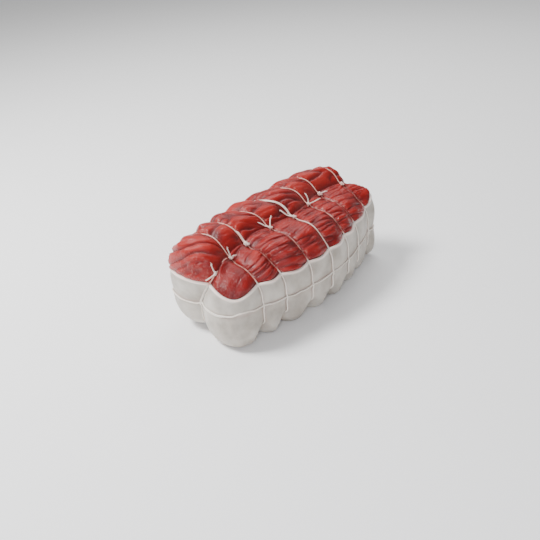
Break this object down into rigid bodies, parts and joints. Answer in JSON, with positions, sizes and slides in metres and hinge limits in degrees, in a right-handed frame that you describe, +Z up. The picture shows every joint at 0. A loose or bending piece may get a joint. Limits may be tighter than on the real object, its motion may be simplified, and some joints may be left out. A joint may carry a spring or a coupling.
{
  "type": "roast beef joint",
  "caption": "Raw rolled beef roasting joint: red ridged meat in a pale wrap of fat, pinched into pillows by butcher's string with knots along the top.",
  "frame": {"origin": "on the table, under the middle of the joint's overall box", "axes": "+X along the joint from the knotted near end to the narrower far end, +Z up"},
  "size_m": [0.237, 0.1242, 0.1022],
  "materials": {
    "meat": "moist, ridged along the grain, satin with small wet highlights",
    "fat": "smooth, waxy, pale with a pink tint at its upper edge",
    "twine": "twisted cotton, damp and faintly pink on the meat"
  },
  "bodies": {
    "root": {"beef": "meat", "fat_bard": "fat", "string_girth": "twine", "string_lengthwise": "twine", "string_cross_1": "twine", "string_cross_2": "twine", "string_cross_3": "twine", "string_cross_4": "twine", "string_cross_5": "twine", "string_cross_6": "twine", "string_cross_7": "twine"}
  },
  "joints": []
}
